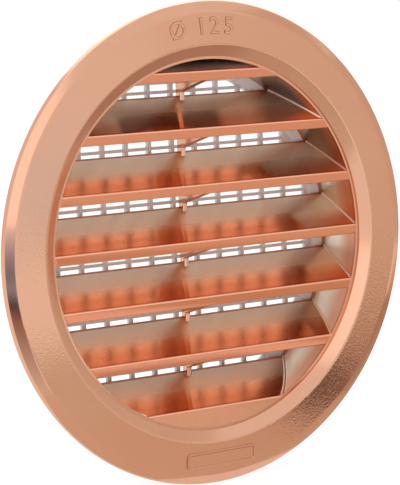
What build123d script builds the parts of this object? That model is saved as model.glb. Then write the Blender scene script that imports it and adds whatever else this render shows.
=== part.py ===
from build123d import *
from math import ceil, hypot
import os

# A round louvre grille that closes a wall duct: a plated moulding and a separate insect screen behind it.
# Millimetres. Y runs into the wall and Z is up. The origin is on the axis, in the plane of the wall's face.

# Collar that goes into the duct
collar_diameter = 122.0
collar_length = 22.0
collar_wall = 1.05

# Widths across the front, from the bore outwards
land_width = 0.95
bevel_width = 3.8
face_width = 10.4
rim_width = 3.4

# Depths at the front, each from the edge before it
flange_depth = 4.0
bevel_fall = 2.1
land_step = 0.6
face_fall = 1.1
rim_fall = 1.3

# Thickness of the hollow flange, and the chamfer that eases its outer edge
flange_wall = 1.8
rim_wall = 1.8
rim_edge = 0.4

# Louvre blades
blade_pitch = 18.0
middle_nose_top = 1.25
blade_height = 3.2
nose_radius = 0.5
blade_rise = 9.7
sill_wall = 2.2

# Gussets on the centre line, one between each blade and the next
gusset_wall = 1.9
foot_depth = 2.7
foot_height = 2.7

# Seat of the insect screen in the back end of the collar
seat_width = 1.0
seat_clearance = 0.1
louvre_to_seat = 1.05
catch_height = 0.4
catch_slope = 0.2
catch_lead = 0.4

# Insect screen
screen_depth = 4.3
screen_rim = 4.55
grid_recess = 2.4
upright_pitch = 9.0
upright_bar = 1.4
level_pitch = 3.0
level_bar = 1.0
least_cell = 2.0

# Radii
collar_radius = collar_diameter / 2
seat_radius = collar_radius - collar_wall
bore_radius = seat_radius - seat_width
bevel_inner_radius = bore_radius + land_width
face_inner_radius = bevel_inner_radius + bevel_width
face_outer_radius = face_inner_radius + face_width
flange_radius = face_outer_radius + rim_width

# Places along the axis, the front ones in front of the wall and so below zero
front_y = -flange_depth
bevel_y = front_y + bevel_fall
land_y = bevel_y + land_step
face_outer_y = front_y + face_fall
rim_y = face_outer_y + rim_fall
catch_tip_y = collar_length - catch_lead
catch_y = catch_tip_y - catch_slope
seat_y = catch_y - seat_clearance - screen_depth
blade_back_y = seat_y - louvre_to_seat
blade_depth = blade_back_y - land_y

# Upper edges of the blades' noses, from the sill at the bottom to the top blade
blades_below = int((bore_radius + middle_nose_top) // blade_pitch)
blades_above = int((bore_radius - middle_nose_top) // blade_pitch)
nose_tops = [middle_nose_top + blade_pitch * step for step in range(-blades_below, blades_above + 1)]
sill_top = nose_tops[0]
blade_root = seat_width / 2


def across(y):
    """A plane across the axis at the depth y, facing the wall."""
    return Plane(origin=(0, y, 0), x_dir=(-1, 0, 0), z_dir=(0, 1, 0))


def blade_top(nose_top, y):
    """Height of a blade's upper side at the depth y."""
    return nose_top + blade_rise * (y - land_y) / blade_depth


def blade_under(nose_top, y):
    """Height of a blade's under side at the depth y."""
    return blade_top(nose_top, y) - blade_height


def blade_outline(nose_top):
    """Section of one blade, as depth and height."""
    return [
        (land_y, nose_top),
        (blade_back_y, blade_top(nose_top, blade_back_y)),
        (blade_back_y, blade_under(nose_top, blade_back_y)),
        (land_y, blade_under(nose_top, land_y)),
    ]


def gusset_outline(lower, upper):
    """Section of the gusset that hangs under one blade and stands with its foot on the next one down."""
    tip_y = land_y + nose_radius
    foot_y = blade_back_y - foot_depth
    sunk = blade_height / 2
    return [
        (tip_y, blade_under(upper, tip_y) + sunk),
        (tip_y, blade_under(upper, tip_y)),
        (foot_y, blade_top(lower, foot_y) + foot_height),
        (foot_y, blade_top(lower, foot_y) - sunk),
        (blade_back_y, blade_top(lower, blade_back_y) - sunk),
        (blade_back_y, blade_under(upper, blade_back_y) + sunk),
    ]


# Louvres: the blades, the sill that fills the bore under the lowest one, and the gussets
with BuildPart() as louvres:
    with BuildSketch(Plane.YZ):
        for nose_top in nose_tops:
            with BuildLine():
                Polyline(*blade_outline(nose_top), close=True)
            make_face()
    extrude(amount=collar_radius, both=True)
    fillet(louvres.edges().filter_by(Axis.X).group_by(Axis.Y)[0], nose_radius)
    with BuildSketch(Plane.YZ):
        sill_bottom = -collar_radius
        with Locations((land_y, sill_bottom)):
            Rectangle(sill_wall, sill_top - nose_radius - sill_bottom, align=Align.MIN)
    extrude(amount=collar_radius, both=True)
    with BuildSketch(Plane.YZ):
        for lower, upper in zip(nose_tops, nose_tops[1:]):
            with BuildLine():
                Polyline(*gusset_outline(lower, upper), close=True)
            make_face()
    extrude(amount=gusset_wall / 2, both=True)
    with BuildSketch(across(land_y)):
        Circle(bore_radius + blade_root)
    extrude(amount=blade_depth, mode=Mode.INTERSECT)

# Hollow behind the flange, which keeps the wall's thickness under the bevel and under the face
bevel_slope = bevel_fall / bevel_width
face_slope = face_fall / face_width
bevel_back_y = front_y + flange_wall * hypot(1, bevel_slope)
face_back_y = front_y + flange_wall * hypot(1, face_slope)
ridge_radius = face_inner_radius + (bevel_back_y - face_back_y) / (bevel_slope + face_slope)
hollow_radius = flange_radius - rim_wall

# Grille body: flange, collar and louvres in one moulding
with BuildPart() as grille_body:
    with BuildSketch() as section:
        with BuildLine():
            Polyline(
                (bore_radius, seat_y),
                (bore_radius, land_y),
                (bevel_inner_radius, land_y),
                (bevel_inner_radius, bevel_y),
                (face_inner_radius, front_y),
                (face_outer_radius, face_outer_y),
                (flange_radius, rim_y),
                (flange_radius, 0),
                (hollow_radius, 0),
                (hollow_radius, face_back_y + face_slope * (hollow_radius - face_inner_radius)),
                (ridge_radius, face_back_y + face_slope * (ridge_radius - face_inner_radius)),
                (collar_radius, bevel_back_y + bevel_slope * (face_inner_radius - collar_radius)),
                (collar_radius, collar_length),
                (seat_radius, collar_length),
                (seat_radius - catch_height, catch_tip_y),
                (seat_radius, catch_y),
                (seat_radius, seat_y),
                close=True,
            )
        make_face()
        chamfer(section.vertices().sort_by_distance((flange_radius, rim_y))[0], rim_edge)
    revolve(axis=Axis.Y)
    add(louvres.part)

# Insect screen: a rim that rests on the seat in the collar, and a grid of bars set back from its front
screen_radius = seat_radius - seat_clearance
grid_radius = screen_radius - screen_rim
cell_width = upright_pitch - upright_bar
cell_height = level_pitch - level_bar
columns = 2 * ceil(grid_radius / upright_pitch)
rows = 2 * ceil(grid_radius / level_pitch)
bar_root = screen_rim / 2


def stays_closed(cell):
    """Whether a cell at the rim reaches too little inside it to be moulded open."""
    near_x = abs(cell.position.X) - cell_width / 2
    near_z = abs(cell.position.Y) - cell_height / 2
    return grid_radius - least_cell < hypot(near_x, near_z) < grid_radius


with BuildPart() as insect_screen:
    with BuildSketch(across(seat_y + grid_recess)):
        with GridLocations(upright_pitch, 1, columns - 1, 1):
            Rectangle(upright_bar, 2 * screen_radius)
        with GridLocations(1, level_pitch, 1, rows - 1):
            Rectangle(2 * screen_radius, level_bar)
        cells = GridLocations(upright_pitch, level_pitch, columns, rows).local_locations
        with Locations(*filter(stays_closed, cells)):
            Rectangle(upright_pitch, level_pitch)
        Circle(grid_radius + bar_root, mode=Mode.INTERSECT)
    extrude(amount=screen_depth - grid_recess)
    with BuildSketch(across(seat_y)):
        Circle(screen_radius)
        Circle(grid_radius, mode=Mode.SUBTRACT)
    extrude(amount=screen_depth)

os.makedirs("parts", exist_ok=True)
grille_body.part.label = "grille_body"
export_step(grille_body.part, "parts/grille_body.step")
insect_screen.part.label = "insect_screen"
export_step(insect_screen.part, "parts/insect_screen.step")
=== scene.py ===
import math

import bmesh
import bpy
from mathutils import Matrix, Vector


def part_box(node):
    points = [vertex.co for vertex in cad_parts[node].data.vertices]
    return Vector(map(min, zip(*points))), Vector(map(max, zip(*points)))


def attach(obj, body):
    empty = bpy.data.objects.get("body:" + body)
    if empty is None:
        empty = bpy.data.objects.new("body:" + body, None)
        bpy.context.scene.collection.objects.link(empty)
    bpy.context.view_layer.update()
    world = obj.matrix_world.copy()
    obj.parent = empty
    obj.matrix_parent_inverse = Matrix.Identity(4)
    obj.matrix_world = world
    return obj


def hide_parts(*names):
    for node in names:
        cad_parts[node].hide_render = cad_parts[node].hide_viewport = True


mm = 0.001
hair = 0.01 * mm  # two places this close count as one
weld = 0.002 * mm
roundSteps = 240  # flats round a circle
trimDepth = 60 * mm
smoothAngle = math.radians(40)

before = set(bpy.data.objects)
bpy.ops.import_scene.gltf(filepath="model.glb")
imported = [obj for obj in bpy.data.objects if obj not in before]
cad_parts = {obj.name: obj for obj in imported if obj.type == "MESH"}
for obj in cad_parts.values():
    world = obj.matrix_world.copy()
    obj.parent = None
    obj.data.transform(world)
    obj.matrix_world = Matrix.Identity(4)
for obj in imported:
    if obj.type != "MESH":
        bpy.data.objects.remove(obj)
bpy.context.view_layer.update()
bodyLow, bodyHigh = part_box("grille_body")
screenLow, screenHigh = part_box("insect_screen")
print("frame loaded")


# small tools for modelling by hand

def deselectAll():
    active = bpy.context.view_layer.objects.active
    if active and active.mode != "OBJECT":
        bpy.ops.object.mode_set(mode="OBJECT")
    bpy.ops.object.select_all(action="DESELECT")


def selectOnly(piece):
    deselectAll()
    piece.select_set(True)
    bpy.context.view_layer.objects.active = piece


def applyPlace():
    bpy.ops.object.transform_apply(location=True, rotation=True, scale=True)


def pick(kind, test):  # selects vertices, edges or faces of the piece in edit mode by their place
    bpy.ops.mesh.select_mode(type=kind)
    bpy.ops.mesh.select_all(action="DESELECT")
    mesh = bmesh.from_edit_mesh(bpy.context.object.data)
    items = {"VERT": mesh.verts, "EDGE": mesh.edges, "FACE": mesh.faces}[kind]
    for item in items:
        if test(item):
            item.select_set(True)
    mesh.select_flush_mode()
    bmesh.update_edit_mesh(bpy.context.object.data)


def radiusOf(place):
    return math.hypot(place.x, place.z)


def closeMesh():  # joins the seam and turns the faces outwards
    bpy.ops.mesh.select_all(action="SELECT")
    bpy.ops.mesh.remove_doubles(threshold=weld)
    bpy.ops.mesh.normals_make_consistent(inside=False)


def drawPath(name, points):  # one vertex, extruded from point to point
    deselectAll()
    bpy.ops.mesh.primitive_plane_add(size=mm)
    bpy.context.object.name = name
    bpy.ops.object.mode_set(mode="EDIT")
    bpy.ops.mesh.select_mode(type="VERT")
    bpy.ops.mesh.merge(type="CENTER")
    bpy.ops.transform.translate(value=points[0])
    for start, end in zip(points, points[1:]):
        bpy.ops.mesh.extrude_vertices_move(TRANSFORM_OT_translate={"value": end - start})
    return bpy.context.object


def drawOutline(name, points):  # a path that goes back to its first point
    piece = drawPath(name, points + points[:1])
    bpy.ops.mesh.select_all(action="SELECT")
    bpy.ops.mesh.remove_doubles(threshold=weld)
    return piece


def spinOutline(name, section):  # each point is a radius and a depth
    piece = drawOutline(name, [Vector((radius, depth, 0)) for radius, depth in section])
    bpy.ops.mesh.spin(steps=roundSteps, angle=2 * math.pi, center=(0, 0, 0), axis=(0, 1, 0))
    closeMesh()
    return piece


def trimRound(pieces, radius):  # cuts off what lies outside a circle round the axis
    deselectAll()
    bpy.ops.mesh.primitive_cylinder_add(
        vertices=roundSteps, radius=radius, depth=trimDepth, rotation=(math.pi / 2, 0, 0)
    )
    cutter = bpy.context.object
    for piece in pieces:
        bpy.context.view_layer.objects.active = piece
        trim = piece.modifiers.new("roundTrim", "BOOLEAN")
        trim.operation = "INTERSECT"
        trim.solver = "EXACT"
        trim.object = cutter
        bpy.ops.object.modifier_apply(modifier=trim.name)
    bpy.data.objects.remove(cutter)


def copiesAt(places, piece):  # the piece stands at the first place
    pieces = [piece]
    for start, end in zip(places, places[1:]):
        selectOnly(pieces[-1])
        bpy.ops.object.duplicate_move(TRANSFORM_OT_translate={"value": end - start})
        pieces.append(bpy.context.object)
    for made in pieces:
        selectOnly(made)
        applyPlace()
    return pieces


def finishFaces(piece, finish, test):  # gives some of the faces a finish of their own
    piece.data.materials.append(finish)
    selectOnly(piece)
    bpy.ops.object.mode_set(mode="EDIT")
    pick("FACE", test)
    piece.active_material_index = len(piece.data.materials) - 1
    bpy.ops.object.material_slot_assign()
    bpy.ops.object.mode_set(mode="OBJECT")


def smoothPiece(piece):  # flat faces stay flat beside their rounded edges
    selectOnly(piece)
    applyPlace()
    bpy.ops.object.shade_smooth_by_angle(angle=smoothAngle)
    evened = piece.modifiers.new("evenNormals", "WEIGHTED_NORMAL")
    evened.keep_sharp = True
    bpy.ops.object.modifier_apply(modifier=evened.name)


def joinPieces(name, pieces):
    deselectAll()
    for piece in pieces:
        piece.select_set(True)
    bpy.context.view_layer.objects.active = pieces[0]
    bpy.ops.object.join()
    bpy.context.object.name = name
    return bpy.context.object


# shader maths: a socket that adds, subtracts, multiplies and divides, and one way to add any other node

class Wire:
    def __init__(self, tree, socket=None):
        self.tree = tree
        self.socket = socket

    def node(self, kind, output=0, settings=None, inputs=None):
        made = self.tree.nodes.new("ShaderNode" + kind)
        for name, value in (settings or {}).items():
            setattr(made, name, value)
        for key, value in (inputs or {}).items():
            if isinstance(value, Wire):
                self.tree.links.new(value.socket, made.inputs[key])
            else:
                made.inputs[key].default_value = value
        return Wire(self.tree, made.outputs[output]) if made.outputs else made

    def maths(self, operation, first, second):
        return self.node("Math", settings={"operation": operation}, inputs={0: first, 1: second})

    def __add__(self, other):
        return self.maths("ADD", self, other)

    def __sub__(self, other):
        return self.maths("SUBTRACT", self, other)

    def __rsub__(self, other):
        return self.maths("SUBTRACT", other, self)

    def __mul__(self, other):
        return self.maths("MULTIPLY", self, other)

    def __truediv__(self, other):
        return self.maths("DIVIDE", self, other)

    __radd__ = __add__
    __rmul__ = __mul__

    def least(self, other):
        return self.maths("MINIMUM", self, other)

    def most(self, other):
        return self.maths("MAXIMUM", self, other)

    def root(self):
        return self.maths("SQRT", self, 0)

    def clamped(self):
        return self.most(0).least(1)

    def ramp(self, start, over):  # rises from 0 at the start to 1
        return ((self - start) / over).clamped()

    def blend(self, first, second):  # between two colours, with this value as the factor
        return self.node(
            "Mix", output=2, settings={"data_type": "RGBA"}, inputs={0: self, 6: first, 7: second}
        )


def newFinish(name):
    finish = bpy.data.materials.new(name)
    finish.use_nodes = True
    finish.node_tree.nodes.clear()
    return finish, Wire(finish.node_tree)


def addSurface(wire, inputs):
    surface = wire.node("BsdfPrincipled", inputs=inputs)
    wire.node("OutputMaterial", inputs={"Surface": surface})


def tone(red, green, blue):
    return (red, green, blue, 1)


def noiseOf(wire, place, size, detail=2.0):  # size of the patches in metres
    return wire.node("TexNoise", inputs={"Vector": place, "Scale": 1 / size, "Detail": detail})


def objectPlace(wire):
    return wire.node("TexCoord", output=3)


def apart(wire, place):
    return [wire.node("SeparateXYZ", output=axis, inputs={0: place}) for axis in range(3)]


# plating: bright copper with slow changes of colour and a fine haze

plating = {
    "copper": tone(0.74, 0.415, 0.285),
    "deepCopper": tone(0.70, 0.36, 0.23),
    "louvreCopper": tone(0.85, 0.45, 0.295),
    "thinCopper": tone(0.98, 0.83, 0.67),
    "underCopper": tone(0.80, 0.38, 0.24),
    # painted shade: dark copper for the line along each blade's back edge and the slopes round raised marks
    "paintedEdgeShade": tone(0.6, 0.28, 0.17),
    # painted highlight: the seams' almost white colour stands in for the bright line along each seam
    "paintedSeamHighlight": tone(0.98, 0.90, 0.82),
    # painted shade for the slopes round the raised plate and figures
    "paintedSlopeShade": tone(0.36, 0.17, 0.11),
    "footCopper": tone(0.76, 0.52, 0.42),
    "patch": 22 * mm,
    "haze": 2.5 * mm,
    "polish": 0.11,
    "seamPolish": 0.26,
    "underPolish": 0.25,
    "louvrePolish": 0.06,
    "polishChange": 0.06,
}


def makePolish(name, polish, first, second):
    finish, wire = newFinish(name)
    place = objectPlace(wire)
    patches = noiseOf(wire, place, plating["patch"])
    haze = noiseOf(wire, place, plating["haze"], detail=4)
    inputs = {
        "Base Color": patches.blend(plating[first], plating[second]),
        "Metallic": 1.0,
        "Roughness": plating[polish] + plating["polishChange"] * haze,
    }
    addSurface(wire, inputs)
    return finish


# grain of the flange's face, which is only at its full depth at the lower right

grain = {
    "pebble": 0.6 * mm,
    "pebbleShare": 0.6,
    "crumb": 0.42 * mm,
    "crumbShare": 0.5,
    "depth": 0.13 * mm,
    "least": 0.3,  # share of the depth on the rest of the face
    "slant": 0.7,
    "deepFrom": 35 * mm,
    "deepOver": 25 * mm,
    "patchTint": 0.7,
    "crumbTint": 0.3,
    "polish": 0.1,
    "polishChange": 0.05,
}


def makeGrain():
    finish, wire = newFinish("grainedCopper")
    place = objectPlace(wire)
    x, _, z = apart(wire, place)
    patches = noiseOf(wire, place, plating["patch"])
    crumbs = noiseOf(wire, place, grain["crumb"], detail=3)
    pebbles = wire.node(
        "TexVoronoi",
        settings={"feature": "SMOOTH_F1"},
        inputs={"Vector": place, "Scale": 1 / grain["pebble"]},
    )
    lowRight = (grain["slant"] * x - grain["slant"] * z).ramp(grain["deepFrom"], grain["deepOver"])
    share = grain["least"] + (1 - grain["least"]) * lowRight
    height = (pebbles * grain["pebbleShare"] + crumbs * grain["crumbShare"]) * share
    tint = patches * grain["patchTint"] + crumbs * grain["crumbTint"]
    bumps = wire.node("Bump", inputs={"Strength": 1.0, "Distance": grain["depth"], "Height": height})
    inputs = {
        "Base Color": tint.blend(plating["copper"], plating["deepCopper"]),
        "Metallic": 1.0,
        "Roughness": grain["polish"] + grain["polishChange"] * crumbs,
        "Normal": bumps,
    }
    addSurface(wire, inputs)
    return finish


# plating of the louvres and the bore, which changes with the place

louvrePlating = {
    "nosePitch": 18.0 * mm,
    "lowestNose": -52.75 * mm,
    "noseBack": -0.6 * mm,
    "noseEdge": 0.4 * mm,
    # painted reflection: the deeper orange of the nose fronts stands in for an orange reflection
    "paintedNoseReflection": tone(0.72, 0.28, 0.16),
    "paintedNoseHighlight": tone(0.88, 0.50, 0.34),  # painted highlight along the upper edge of each nose
    "highlightHeight": 0.3 * mm,
    "highlightFade": 1.5,
    "cloud": 9 * mm,
    "thinFrom": 2.5 * mm,  # the plating thins out towards the back
    "thinOver": 5.5 * mm,
    "thinCloud": 0.3,
    "thinPolish": 0.22,
    "crownCopper": tone(0.76, 0.65, 0.61),  # at the top of the bore
    "crownFrom": 46.0 * mm,
    "crownOver": 6.0 * mm,
    "wallRadius": 58.2 * mm,
    "wallEdge": 0.4 * mm,
    "paintedWallShade": tone(0.31, 0.25, 0.24),  # painted shade: the bore darkens behind the noses, towards the top and the right
    "highFrom": 8.0 * mm,
    "highOver": 38.0 * mm,
    "rightFrom": 28.0 * mm,
    "rightOver": 6.0 * mm,
    "topFrom": 55.0 * mm,
    "topOver": 1.0 * mm,
    "darkFrom": 0.5 * mm,
    "darkOver": 4.0 * mm,
    "darkCloud": 0.4,
    "edgeFrom": 14.8 * mm,
    "edgeOver": 0.25 * mm,
}


def makeLouvrePolish():
    p = louvrePlating
    finish, wire = newFinish("louvreCopper")
    place = objectPlace(wire)
    x, y, z = apart(wire, place)
    cloud = noiseOf(wire, place, p["cloud"], detail=3) - 0.5
    haze = noiseOf(wire, place, plating["haze"], detail=4)
    thinning = ((y - p["thinFrom"]) / p["thinOver"] + p["thinCloud"] * cloud).clamped()
    behindNose = y.ramp(p["noseBack"], p["noseEdge"])
    belowEdge = wire.maths("FLOORED_MODULO", p["lowestNose"] - z, p["nosePitch"])
    # painted highlight: a light band just below each nose's upper edge
    noseHighlight = (p["highlightFade"] - belowEdge / p["highlightHeight"]).clamped()
    crown = z.ramp(p["crownFrom"], p["crownOver"]) * behindNose
    onWall = (x * x + z * z).root().ramp(p["wallRadius"], p["wallEdge"])
    high = z.ramp(p["highFrom"], p["highOver"])
    rightOrTop = x.ramp(p["rightFrom"], p["rightOver"]).most(z.ramp(p["topFrom"], p["topOver"]))
    deepIn = ((y - p["darkFrom"]) / p["darkOver"] + p["darkCloud"] * cloud).clamped()
    atBack = y.ramp(p["edgeFrom"], p["edgeOver"])
    colour = thinning.blend(plating["louvreCopper"], plating["thinCopper"])
    # nose fronts: a painted orange reflection, with a painted highlight along each upper edge
    colour = behindNose.blend(noseHighlight.blend(p["paintedNoseReflection"], p["paintedNoseHighlight"]), colour)
    colour = crown.blend(colour, p["crownCopper"])
    # painted shade on the bore wall, deep in and towards the top and the right
    colour = (onWall * high * deepIn * rightOrTop).blend(colour, p["paintedWallShade"])
    # painted shade: a dark line along the back edge of each blade, in place of a small lip
    colour = atBack.blend(colour, plating["paintedEdgeShade"])
    dulled = p["thinPolish"] * (thinning * thinning).most(onWall)
    inputs = {
        "Base Color": colour,
        "Metallic": 1.0,
        "Roughness": plating["louvrePolish"] + plating["polishChange"] * haze + dulled,
    }
    addSurface(wire, inputs)
    return finish


# plastic of the insect screen

screenPlastic = {
    "pale": tone(0.82, 0.805, 0.79),
    "dull": tone(0.76, 0.745, 0.73),
    "flow": 14 * mm,
    "flowTint": 0.8,
    "speck": 0.5 * mm,
    "speckTint": 0.2,
    "speckDepth": 0.02 * mm,
    "speckStrength": 0.25,
    "gloss": 0.42,
    "glossChange": 0.12,
}


def makeScreenPlastic():
    p = screenPlastic
    finish, wire = newFinish("paleScreenPlastic")
    place = objectPlace(wire)
    flow = noiseOf(wire, place, p["flow"], detail=3)
    specks = noiseOf(wire, place, p["speck"])
    tint = flow * p["flowTint"] + specks * p["speckTint"]
    bumps = wire.node(
        "Bump", inputs={"Strength": p["speckStrength"], "Distance": p["speckDepth"], "Height": specks}
    )
    inputs = {
        "Base Color": tint.blend(p["pale"], p["dull"]),
        "Roughness": p["gloss"] + p["glossChange"] * specks,
        "Normal": bumps,
    }
    addSurface(wire, inputs)
    return finish


polishedCopper = makePolish("polishedCopper", "polish", "copper", "deepCopper")
# the seams' pale finish is a painted highlight
paintedSeamHighlight = makePolish("paintedSeamHighlight", "seamPolish", "paintedSeamHighlight", "thinCopper")
underCopper = makePolish("underCopper", "underPolish", "louvreCopper", "underCopper")
# painted shade on the slopes round raised marks
paintedSlopeShade = makePolish("paintedSlopeShade", "polish", "paintedSlopeShade", "paintedEdgeShade")
footCopper = makePolish("footCopper", "polish", "footCopper", "copper")
grainedCopper = makeGrain()
louvreCopper = makeLouvrePolish()
paleScreenPlastic = makeScreenPlastic()
print("finishes made")

# flange and collar: one section drawn at the right-hand side and spun round the axis

flange = {
    "outer": bodyHigh.x,
    "front": bodyLow.y,
    "back": bodyHigh.y,
    "faceOuter": 74.1 * mm,
    "faceInner": 63.7 * mm,
    "bevelInner": 59.9 * mm,
    "bore": 58.95 * mm,
    "faceOuterY": -2.9 * mm,
    "rimY": -1.6 * mm,
    "bevelY": -1.86 * mm,
    "landY": -1.3 * mm,
    "wall": 1.8 * mm,
    "ridge": 64.08 * mm,
    "collar": 61.0 * mm,
    "hollowY": -0.451 * mm,
    "seat": 59.95 * mm,
    "seatY": screenLow.y,
    "catch": 59.55 * mm,
    "catchY": 21.4 * mm,
    "catchTipY": 21.6 * mm,
    "roundings": [  # corner of the section, size, segments
        ("faceInner", 0.5 * mm, 4),
        ("faceOuter", 0.6 * mm, 3),
        ("rimFront", 0.6 * mm, 4),
        ("rimBack", 0.25 * mm, 2),
        ("hollowRim", 0.2 * mm, 2),
        ("bevelInner", 0.15 * mm, 3),
        ("boreFront", 0.15 * mm, 3),
        ("collarBack", 0.25 * mm, 2),
        ("mouth", 0.15 * mm, 2),
    ],
    "frontTurn": -0.99,  # a face's normal in depth, to count as facing the front
    "boreMargin": 0.1 * mm,
}
faceSlope = (flange["faceOuterY"] - flange["front"]) / (flange["faceOuter"] - flange["faceInner"])


def makeFlange():
    f = flange
    hollowOuter = f["outer"] - f["wall"]
    faceBack = f["front"] + f["wall"] * math.hypot(1, faceSlope)
    corners = {  # radius and depth
        "boreBack": (f["bore"], f["seatY"]),
        "boreFront": (f["bore"], f["landY"]),
        "landOuter": (f["bevelInner"], f["landY"]),
        "bevelInner": (f["bevelInner"], f["bevelY"]),
        "faceInner": (f["faceInner"], f["front"]),
        "faceOuter": (f["faceOuter"], f["faceOuterY"]),
        "rimFront": (f["outer"], f["rimY"]),
        "rimBack": (f["outer"], 0),
        "hollowRim": (hollowOuter, 0),
        "hollowOuter": (hollowOuter, faceBack + faceSlope * (hollowOuter - f["faceInner"])),
        "hollowRidge": (f["ridge"], faceBack + faceSlope * (f["ridge"] - f["faceInner"])),
        "hollowInner": (f["collar"], f["hollowY"]),
        "collarBack": (f["collar"], f["back"]),
        "mouth": (f["seat"], f["back"]),
        "catchTip": (f["catch"], f["catchTipY"]),
        "catchFoot": (f["seat"], f["catchY"]),
        "seat": (f["seat"], f["seatY"]),
    }
    piece = spinOutline("flangeCollar", list(corners.values()))
    for name, size, segments in f["roundings"]:
        corner = Vector(corners[name])

        def onCorner(edge):
            spots = [Vector((radiusOf(v.co), v.co.y)) for v in edge.verts]
            return all((spot - corner).length < hair for spot in spots)

        pick("EDGE", onCorner)
        bpy.ops.mesh.bevel(offset=size, segments=segments, affect="EDGES")

    def onFace(face):
        radius = radiusOf(face.calc_center_median())
        return f["faceInner"] < radius < f["faceOuter"] and face.normal.y < f["frontTurn"]

    def inBore(face):
        middle = face.calc_center_median()
        return radiusOf(middle) < f["bore"] + f["boreMargin"] and middle.y < f["seatY"]

    piece.data.materials.append(polishedCopper)
    finishFaces(piece, grainedCopper, onFace)
    finishFaces(piece, louvreCopper, inBore)
    smoothPiece(piece)
    return piece


flangeCollar = makeFlange()
print("flange and collar", len(flangeCollar.data.polygons), "faces")

# a bare plate at the bottom of the face and the duct's diameter in plain figures at the top

faceMarks = {
    "tilt": math.atan(faceSlope),
    "plateRadius": 69.0 * mm,
    "plateWidth": 27.0 * mm,
    "plateHeight": 5.6 * mm,
    "plateCorner": 1.4 * mm,
    "cornerSegments": 6,
    "plateSunk": 0.3 * mm,
    "plateProud": 0.22 * mm,
    "border": 0.7 * mm,
    "borderSlope": 0.3 * mm,
    "borderDepth": 0.26 * mm,
    "plateRound": 0.16 * mm,
    "roundSegments": 3,
    "creaseAngle": 0.3,  # edges sharper than this are rounded
    "figures": [("Ø", -10.5), ("1", -3.0), ("2", 1.2), ("5", 5.8)],  # each with its angle from the top
    "figureRadius": 67.0 * mm,
    "figureHeight": 5.6 * mm,
    "heightShare": 0.72,  # of the text's size
    "figureProud": 0.02 * mm,
    "figureSlope": 0.28 * mm,
    "figureThinning": 0.14 * mm,
    "slopeTurn": -0.93,  # a face's normal in depth, past which it is a slope
}


def onFaceAt(radius):
    return flange["front"] + faceSlope * (radius - flange["faceInner"])


def isSlope(face):
    return face.normal.y > faceMarks["slopeTurn"]


def makePlate():
    m = faceMarks
    deselectAll()
    bpy.ops.mesh.primitive_plane_add(size=1)
    plate = bpy.context.object
    plate.name = "barePlate"
    plate.scale = (m["plateWidth"], m["plateHeight"], 1)
    applyPlace()
    bpy.ops.object.mode_set(mode="EDIT")
    bpy.ops.mesh.select_mode(type="VERT")
    bpy.ops.mesh.select_all(action="SELECT")
    bpy.ops.mesh.bevel(offset=m["plateCorner"], segments=m["cornerSegments"], affect="VERTICES")
    bpy.ops.mesh.select_all(action="SELECT")
    thickness = m["plateSunk"] + m["plateProud"]
    bpy.ops.mesh.extrude_region_move(TRANSFORM_OT_translate={"value": (0, 0, thickness)})
    closeMesh()
    pick("FACE", lambda face: face.calc_center_median().z > thickness - hair)
    bpy.ops.mesh.inset(thickness=m["border"], depth=0)
    bpy.ops.mesh.inset(thickness=m["borderSlope"], depth=-m["borderDepth"])

    def onTop(edge):
        isHigh = all(v.co.z > thickness - hair for v in edge.verts)
        return isHigh and not edge.is_wire and edge.calc_face_angle(0) > m["creaseAngle"]

    pick("EDGE", onTop)
    bpy.ops.mesh.bevel(offset=m["plateRound"], segments=m["roundSegments"], affect="EDGES")
    bpy.ops.object.mode_set(mode="OBJECT")
    normal = Vector((0, -math.cos(m["tilt"]), -math.sin(m["tilt"])))
    onFace = Vector((0, onFaceAt(m["plateRadius"]), -m["plateRadius"]))
    plate.rotation_euler = (math.pi / 2 + m["tilt"], 0, 0)
    plate.location = onFace - normal * m["plateSunk"]
    plate.data.materials.append(polishedCopper)
    smoothPiece(plate)
    finishFaces(plate, paintedSlopeShade, isSlope)  # painted shade: the slopes round a raised mark are darker
    return plate


def makeFigures():
    m = faceMarks
    made = []
    for figure, angle in m["figures"]:
        deselectAll()
        bpy.ops.object.text_add()
        text = bpy.context.object
        text.data.body = figure
        text.data.align_x = "CENTER"
        text.data.size = m["figureHeight"] / m["heightShare"]
        text.data.extrude = m["figureProud"]
        text.data.bevel_depth = m["figureSlope"]
        text.data.bevel_resolution = 1
        text.data.offset = -m["figureThinning"]
        bpy.ops.object.convert(target="MESH")
        figureMesh = bpy.context.object
        turn = Matrix.Rotation(math.radians(angle), 4, "Y")
        lean = Matrix.Rotation(math.pi / 2 - m["tilt"], 4, "X")
        place = Matrix.Translation((0, onFaceAt(m["figureRadius"]), m["figureRadius"]))
        figureMesh.matrix_world = turn @ place @ lean
        applyPlace()
        bpy.ops.object.mode_set(mode="EDIT")
        closeMesh()
        bpy.ops.object.mode_set(mode="OBJECT")
        figureMesh.data.materials.clear()
        figureMesh.data.materials.append(polishedCopper)
        made.append(figureMesh)
    piece = joinPieces("sizeFigures", made)
    smoothPiece(piece)
    # painted shade on the figures' slopes
    finishFaces(piece, paintedSlopeShade, isSlope)
    return piece


barePlate = makePlate()
sizeFigures = makeFigures()
print("plate and figures", len(barePlate.data.polygons), len(sizeFigures.data.polygons), "faces")

# louvres: one blade and one gusset modelled, copied up the bore and trimmed to it

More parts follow.
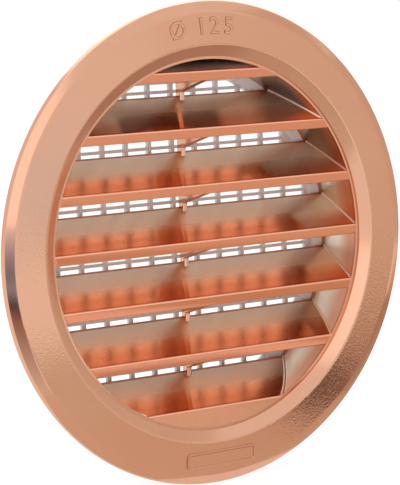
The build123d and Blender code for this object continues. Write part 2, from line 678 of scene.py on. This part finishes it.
louvre = {
    "pitch": louvrePlating["nosePitch"],
    "lowestTop": louvrePlating["lowestNose"],
    "blades": 7,
    "front": -1.27 * mm,
    "back": 15.95 * mm,
    "height": 3.2 * mm,
    "rise": 9.7 * mm,
    "noseRound": 0.5 * mm,
    "noseSegments": 5,
    "backRound": 0.3 * mm,
    "backSegments": 3,
    "reach": 60.5 * mm,
    "root": 0.5 * mm,
    "sillWall": 2.2 * mm,
    "sillProud": 0.01 * mm,  # so that no two faces lie in one plane
    "gussetWall": 1.9 * mm,
    "gussetInset": 0.02 * mm,  # for the same reason
    "gussetRound": 0.4 * mm,
    "footDepth": 2.7 * mm,
    "footHeight": 2.7 * mm,
    "footMargin": 0.3 * mm,
    "smallSegments": 2,
    "bead": 0.42 * mm,
    "beadShort": 1.0 * mm,
    "beadSteps": 12,
    "underTurn": -0.3,  # a face's normal in height, below which it is an under side
    "sideTurn": 0.5,  # a face's normal across, past which it is a side of a gusset
}


def bladeTop(y):  # height over the nose's upper edge
    return louvre["rise"] * (y - louvre["front"]) / (louvre["back"] - louvre["front"])


def bladeUnder(y):
    return bladeTop(y) - louvre["height"]


def makeBlade():
    b = louvre
    deselectAll()
    bpy.ops.mesh.primitive_plane_add(size=1, rotation=(math.pi / 2, 0, 0))
    blade = bpy.context.object
    blade.name = "blade"
    blade.scale = (2 * b["reach"], b["height"], 1)
    blade.location = (0, b["front"], b["lowestTop"] - b["height"] / 2)
    applyPlace()
    bpy.ops.object.mode_set(mode="EDIT")
    bpy.ops.mesh.select_all(action="SELECT")
    bpy.ops.mesh.extrude_region_move(
        TRANSFORM_OT_translate={"value": (0, b["back"] - b["front"], b["rise"])}
    )
    closeMesh()
    roundings = [
        (b["front"], b["noseRound"], b["noseSegments"]),
        (b["back"], b["backRound"], b["backSegments"]),
    ]
    for depth, size, segments in roundings:

        def alongEdge(edge):
            first, second = (v.co for v in edge.verts)
            onDepth = max(abs(first.y - depth), abs(second.y - depth)) < hair
            return onDepth and abs(first.x - second.x) > mm

        pick("EDGE", alongEdge)
        bpy.ops.mesh.bevel(offset=size, segments=segments, affect="EDGES")
    bpy.ops.object.mode_set(mode="OBJECT")
    return blade


def makeSill():
    b = louvre
    top = b["lowestTop"] - b["noseRound"]
    deselectAll()
    bpy.ops.mesh.primitive_cube_add(size=1)
    sill = bpy.context.object
    sill.name = "sill"
    sill.scale = (2 * b["reach"], b["sillWall"], top + b["reach"])
    sill.location = (0, b["front"] + b["sillWall"] / 2 - b["sillProud"], (top - b["reach"]) / 2)
    applyPlace()
    bpy.ops.object.mode_set(mode="EDIT")
    pick("EDGE", lambda edge: all(v.co.y > b["front"] + mm and v.co.z > top - mm for v in edge.verts))
    bpy.ops.mesh.bevel(offset=b["backRound"], segments=b["smallSegments"], affect="EDGES")
    bpy.ops.object.mode_set(mode="OBJECT")
    return sill


def makeGusset():
    b = louvre
    tip = b["front"] + b["noseRound"]
    foot = b["back"] - b["footDepth"]
    back = b["back"] - b["gussetInset"]
    sunk = b["height"] / 2
    outline = [
        (tip, b["pitch"] + bladeUnder(tip) + sunk),
        (tip, b["pitch"] + bladeUnder(tip)),
        (foot, bladeTop(foot) + b["footHeight"]),
        (foot, bladeTop(foot) - sunk),
        (back, bladeTop(b["back"]) - sunk),
        (back, b["pitch"] + bladeUnder(b["back"]) + sunk),
    ]
    side = -b["gussetWall"] / 2
    gusset = drawOutline("gusset", [Vector((side, y, b["lowestTop"] + z)) for y, z in outline])
    bpy.ops.mesh.edge_face_add()
    bpy.ops.mesh.extrude_region_move(TRANSFORM_OT_translate={"value": (b["gussetWall"], 0, 0)})
    closeMesh()
    bpy.ops.mesh.bevel(offset=b["gussetRound"], segments=b["smallSegments"], affect="EDGES")
    bpy.ops.object.mode_set(mode="OBJECT")
    return gusset


def makeBead(side, blade):  # the small rounded seam where a blade's upper side meets the bore
    b = louvre
    start = b["front"] + b["noseRound"]
    length = b["back"] - b["front"] - b["beadShort"]
    depths = [start + length * step / b["beadSteps"] for step in range(b["beadSteps"] + 1)]
    heights = [b["lowestTop"] + blade * b["pitch"] + bladeTop(depth) for depth in depths]
    places = [
        Vector((side * math.sqrt(flange["bore"] ** 2 - height ** 2), depth, height))
        for depth, height in zip(depths, heights)
    ]
    bead = drawPath("bead", places)
    bpy.ops.object.mode_set(mode="OBJECT")
    bpy.ops.object.convert(target="CURVE")
    bead.data.bevel_depth = b["bead"]
    bead.data.bevel_resolution = 2
    bead.data.use_fill_caps = True
    bpy.ops.object.convert(target="MESH")
    bpy.ops.object.mode_set(mode="EDIT")
    closeMesh()
    bpy.ops.object.mode_set(mode="OBJECT")
    return bpy.context.object


def isUnder(face):
    return face.normal.z < louvre["underTurn"]


def isBeforeFoot(face):
    foot = louvre["back"] - louvre["footDepth"] - louvre["footMargin"]
    return abs(face.normal.x) > louvre["sideTurn"] or face.calc_center_median().y < foot


def makeLouvres():
    noses = [Vector((0, 0, louvre["pitch"] * blade)) for blade in range(louvre["blades"])]
    blades = copiesAt(noses, makeBlade())
    sill = makeSill()
    gussets = copiesAt(noses[:-1], makeGusset())
    trimRound(blades + gussets + [sill], flange["bore"] + louvre["root"])
    beads = [makeBead(side, blade) for side in (-1, 1) for blade in range(louvre["blades"] - 1)]
    finishes = [(blades, louvreCopper), (gussets, footCopper), (beads, paintedSeamHighlight), ([sill], underCopper)]
    for pieces, finish in finishes:
        for piece in pieces:
            piece.data.materials.clear()
            piece.data.materials.append(finish)
    for blade in blades:
        finishFaces(blade, underCopper, isUnder)
    for gusset in gussets:
        finishFaces(gusset, polishedCopper, isBeforeFoot)
    joined = joinPieces("louvreBlades", blades + gussets + beads + [sill])
    smoothPiece(joined)
    return joined


louvreBlades = makeLouvres()
print("louvres", len(louvreBlades.data.polygons), "faces")

# insect screen: a spun rim, rounded bars, and covers over the cells that stay closed at the rim

screen = {
    "outer": 59.85 * mm,
    "inner": 55.3 * mm,
    "rimRound": 0.35 * mm,
    "front": screenLow.y,
    "back": screenHigh.y,
    "gridFront": 19.4 * mm,
    "uprightPitch": 9.0 * mm,
    "uprightBar": 1.4 * mm,
    "uprights": 13,
    "levelPitch": 3.0 * mm,
    "levelBar": 1.0 * mm,
    "levels": 37,
    "barRound": 0.28 * mm,
    "barRoot": 1.0 * mm,
    "segments": 3,
    "levelInset": 0.05 * mm,  # so that no two faces lie in one plane where bars cross
    "coverInset": 0.1 * mm,
    "coverLap": 0.6 * mm,
    "leastCell": 2.0 * mm,
}


def makeRim():
    n = screen
    section = [
        (n["inner"], n["front"]),
        (n["outer"], n["front"]),
        (n["outer"], n["back"]),
        (n["inner"], n["back"]),
    ]
    rim = spinOutline("screenRim", section)

    def roundTheRim(edge):
        first, second = (v.co for v in edge.verts)
        sameDepth = abs(first.y - second.y) < hair
        return sameDepth and abs(radiusOf(first) - radiusOf(second)) < hair

    pick("EDGE", roundTheRim)
    bpy.ops.mesh.bevel(offset=n["rimRound"], segments=n["segments"], affect="EDGES")
    bpy.ops.object.mode_set(mode="OBJECT")
    return rim


def makeBar(name, place, width, height, inset):
    n = screen
    deselectAll()
    bpy.ops.mesh.primitive_cube_add(size=1)
    bar = bpy.context.object
    bar.name = name
    bar.scale = (width, n["back"] - n["gridFront"] - 2 * inset, height)
    bar.location = (place.x, (n["back"] + n["gridFront"]) / 2, place.z)
    applyPlace()
    bpy.ops.object.mode_set(mode="EDIT")
    pick("EDGE", lambda edge: abs(edge.verts[0].co.y - edge.verts[1].co.y) < hair)
    bpy.ops.mesh.bevel(offset=n["barRound"], segments=n["segments"], affect="EDGES")
    bpy.ops.object.mode_set(mode="OBJECT")
    return bar


def closedCells(width, height):
    n = screen
    cells = []
    for column in range(n["uprights"] + 1):
        for row in range(n["levels"] + 1):
            x = (column - n["uprights"] / 2) * n["uprightPitch"]
            z = (row - n["levels"] / 2) * n["levelPitch"]
            nearest = math.hypot(abs(x) - width / 2, abs(z) - height / 2)
            if n["inner"] - n["leastCell"] < nearest < n["inner"]:
                cells.append(Vector((x, 0, z)))
    return cells


def makeScreen():
    n = screen
    span = 2 * n["outer"]
    firstUpright = (1 - n["uprights"]) / 2 * n["uprightPitch"]
    firstLevel = (1 - n["levels"]) / 2 * n["levelPitch"]
    uprights = [Vector((firstUpright + n["uprightPitch"] * step, 0, 0)) for step in range(n["uprights"])]
    levels = [Vector((0, 0, firstLevel + n["levelPitch"] * step)) for step in range(n["levels"])]
    width = n["uprightPitch"] - n["uprightBar"]
    height = n["levelPitch"] - n["levelBar"]
    cells = closedCells(width, height)
    lap = n["coverLap"]
    sets = [
        copiesAt(uprights, makeBar("upright", uprights[0], n["uprightBar"], span, 0)),
        copiesAt(levels, makeBar("level", levels[0], span, n["levelBar"], n["levelInset"])),
        copiesAt(cells, makeBar("cover", cells[0], width + lap, height + lap, n["coverInset"])),
    ]
    bars = [joinPieces(pieces[0].name, pieces) for pieces in sets]
    trimRound(bars, n["inner"] + n["barRoot"])
    joined = joinPieces("screenGrid", [makeRim()] + bars)
    joined.data.materials.clear()
    joined.data.materials.append(paleScreenPlastic)
    smoothPiece(joined)
    return joined


screenGrid = makeScreen()
print("insect screen", len(screenGrid.data.polygons), "faces")

for piece in (flangeCollar, louvreBlades, barePlate, sizeFigures):
    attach(piece, "root")
    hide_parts("grille_body")
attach(screenGrid, "root")
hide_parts("insect_screen")
print("pieces placed")

# camera at the photograph's angle

view = {
    "azimuth": 35.135,
    "elevation": 7.003,
    "roll": -1.497,
    "distance": 746.322 * mm,
    "focalPixels": 2344.162,
    "framePixels": 485,  # the long side of the picture
    "sensor": 36,
    "aim": (0, -4.0 * mm, 0),
    "aimRight": -5.515 * mm,
    "aimUp": 0.718 * mm,
}


def makeCamera():
    azimuth, elevation, roll = (math.radians(view[key]) for key in ("azimuth", "elevation", "roll"))
    level = Vector((math.cos(azimuth), -math.sin(azimuth), 0))
    inward = Vector((math.sin(azimuth), math.cos(azimuth), 0))
    ahead = inward * math.cos(elevation) - Vector((0, 0, math.sin(elevation)))
    upright = level.cross(ahead)
    right = level * math.cos(roll) + upright * math.sin(roll)
    up = upright * math.cos(roll) - level * math.sin(roll)
    aim = Vector(view["aim"]) + right * view["aimRight"] + up * view["aimUp"]
    deselectAll()
    bpy.ops.object.camera_add()
    camera = bpy.context.object
    camera.data.sensor_width = view["sensor"]
    camera.data.lens = view["focalPixels"] * view["sensor"] / view["framePixels"]
    turn = Matrix((right, up, -ahead)).transposed().to_4x4()
    camera.matrix_world = Matrix.Translation(aim - ahead * view["distance"]) @ turn
    bpy.context.scene.camera = camera


makeCamera()

# studio: a white floor and world, soft lamps, and cards that only the plating mirrors

studio = {
    "floorSize": 6.0,
    "floorGlow": 1.12,
    "floorShare": 0.75,
    "worldLight": 0.95,
    "floorTone": tone(0.9, 0.9, 0.9),
    "white": tone(1, 1, 1),
}


def seenDirectly(wire):  # camera, glossy and transmission rays
    names = ("Is Camera Ray", "Is Glossy Ray", "Is Transmission Ray")
    camera, glossy, through = (wire.node("LightPath", output=name) for name in names)
    return (camera + glossy + through).clamped()


def makeFloor():
    finish, wire = newFinish("paleFloor")
    paper = wire.node("BsdfDiffuse", inputs={"Color": studio["floorTone"]})
    glow = wire.node("Emission", inputs={"Color": studio["white"], "Strength": studio["floorGlow"]})
    mixed = wire.node("MixShader", inputs={0: studio["floorShare"] * seenDirectly(wire), 1: paper, 2: glow})
    wire.node("OutputMaterial", inputs={"Surface": mixed})
    deselectAll()
    bpy.ops.mesh.primitive_plane_add(size=studio["floorSize"], location=(0, 0, bodyLow.z))
    floor = bpy.context.object
    floor.name = "floor"
    floor.data.materials.append(finish)


def makeWorld():
    world = bpy.data.worlds.new("whiteRoom")
    bpy.context.scene.world = world
    world.use_nodes = True
    world.node_tree.nodes.clear()
    wire = Wire(world.node_tree)
    level = studio["worldLight"] + (1 - studio["worldLight"]) * seenDirectly(wire)
    air = wire.node("Background", inputs={"Color": studio["white"], "Strength": level})
    wire.node("OutputWorld", inputs={"Surface": air})


lamps = [  # name, place, aim, width, height, watts
    ("frontLamp", (-0.3, -0.95, 0.33), (0, 0, 0), 0.58, 0.8, 0.65),
    ("topLamp", (-0.1, -0.2, 0.9), (0, 0, 0), 0.6, 0.6, 0.9),
    ("backLamp", (0.1, 0.35, 0.5), (0.05, 0.22, -0.08), 0.5, 0.5, 0.95),
]


def makeLamps():
    for name, place, aim, width, height, watts in lamps:
        deselectAll()
        bpy.ops.object.light_add(type="AREA", location=place)
        lamp = bpy.context.object
        lamp.name = name
        lamp.data.shape = "RECTANGLE"
        lamp.data.size = width
        lamp.data.size_y = height
        lamp.data.energy = watts
        lamp.rotation_euler = (Vector(aim) - Vector(place)).to_track_quat("-Z", "Y").to_euler()
        lamp.visible_camera = False


cards = [  # name, place, turn in degrees, width, height, colours at its two ends
    ("warmCard", (0.46, -0.23, 0.06), (90, 0, 64), 0.73, 0.275, (0.95, 0.91, 0.84), (0.70, 0.62, 0.54)),
    ("coolCard", (0.27, -0.75, -0.015), (90, 0, 20), 0.26, 0.12, (0.88, 1.0, 1.10), (0.92, 1.0, 1.06)),
    ("upperCard", (0.45, -0.29, 0.27), (64, 0, 57), 0.22, 0.16, (0.86, 0.79, 0.72), (0.78, 0.70, 0.64)),
    # painted shadow: the floor near the object, shadowed and tinted by the copper, as the plating mirrors it
    ("nearFloorShade", (0.015, -0.04, -0.0773), (0, 0, 0), 0.17, 0.07, (0.84, 0.74, 0.64), (0.70, 0.58, 0.48)),
    ("frontMat", (0.05, -0.135, -0.0773), (0, 0, 0), 0.2, 0.12, (0.82, 0.78, 0.70), (0.62, 0.52, 0.43)),
    ("rightCard", (0.6, 0.18, 0.11), (90, 0, 90), 0.44, 0.375, (0.40, 0.27, 0.22), (0.36, 0.25, 0.21)),
    ("brownMat", (0.185, -0.075, -0.0772), (0, 0, 0), 0.18, 0.13, (0.55, 0.43, 0.36), (0.48, 0.36, 0.30)),
    ("rightMat", (0.5, -0.015, -0.0772), (0, 0, 0), 0.45, 0.06, (0.80, 0.52, 0.38), (0.85, 0.60, 0.45)),
    ("warmMat", (0.46, -0.47, -0.0772), (0, 0, 0), 0.52, 0.66, (0.74, 0.64, 0.52), (0.80, 0.72, 0.60)),
    (
        "darkRight", (0.08, -0.04, -0.0673), (90, 0, 0), 0.042, 0.0204,
        (0.18, 0.135, 0.12), (0.18, 0.135, 0.12),
    ),
    ("backCard", (0.3, 0.3, 0.5), (-50, 0, -45), 0.7, 0.6, (1.75, 1.7, 1.65), (1.75, 1.7, 1.65)),
    ("backMat", (0.4, 0.56, -0.0772), (0, 0, 0), 0.9, 0.96, (1.6, 1.55, 1.5), (1.6, 1.55, 1.5)),
]

# a strip of cards at the left, from the top down, each with the last one's colour at its upper end
strip = {
    "y": -0.06,
    "turn": (-90, -90, 0),
    "height": 0.03,
    "topColour": (1.0, 1.1, 1.2),
    "bands": [  # name, x, z, width, colour at its lower end
        ("leftLight", -0.087, 0.005, 0.014, (0.45, 0.5, 0.7)),
        ("leftShade", -0.087, -0.007, 0.01, (0.25, 0.3, 0.4)),
        ("leftGrey", -0.087, -0.0155, 0.007, (0.4, 0.5, 0.7)),
        ("leftDark", -0.086, -0.023, 0.008, (0.06, 0.06, 0.08)),
        ("leftBrown", -0.084, -0.031, 0.008, (0.37, 0.24, 0.22)),
        ("leftFoot", -0.08, -0.0561, 0.0422, (0.9, 0.9, 0.88)),
    ],
}


def makeCard(name, place, turn, width, height, first, second):
    finish, wire = newFinish(name)
    across = wire.node("SeparateXYZ", inputs={0: wire.node("TexCoord", output=2)})
    colour = across.blend(tone(*first), tone(*second))
    glow = wire.node("Emission", inputs={"Color": colour, "Strength": 1.0})
    wire.node("OutputMaterial", inputs={"Surface": glow})
    deselectAll()
    turned = [math.radians(angle) for angle in turn]
    bpy.ops.mesh.primitive_plane_add(size=1, location=place, rotation=turned)
    card = bpy.context.object
    card.name = name
    card.scale = (width, height, 1)
    card.data.materials.append(finish)
    card.visible_camera = False
    card.visible_diffuse = False
    card.visible_shadow = False


def makeCards():
    for card in cards:
        makeCard(*card)
    above = strip["topColour"]
    for name, x, z, width, below in strip["bands"]:
        makeCard(name, (x, strip["y"], z), strip["turn"], width, strip["height"], below, above)
        above = below


makeFloor()
makeWorld()
makeLamps()
makeCards()
bpy.context.scene.view_settings.view_transform = "Standard"
print("studio ready")
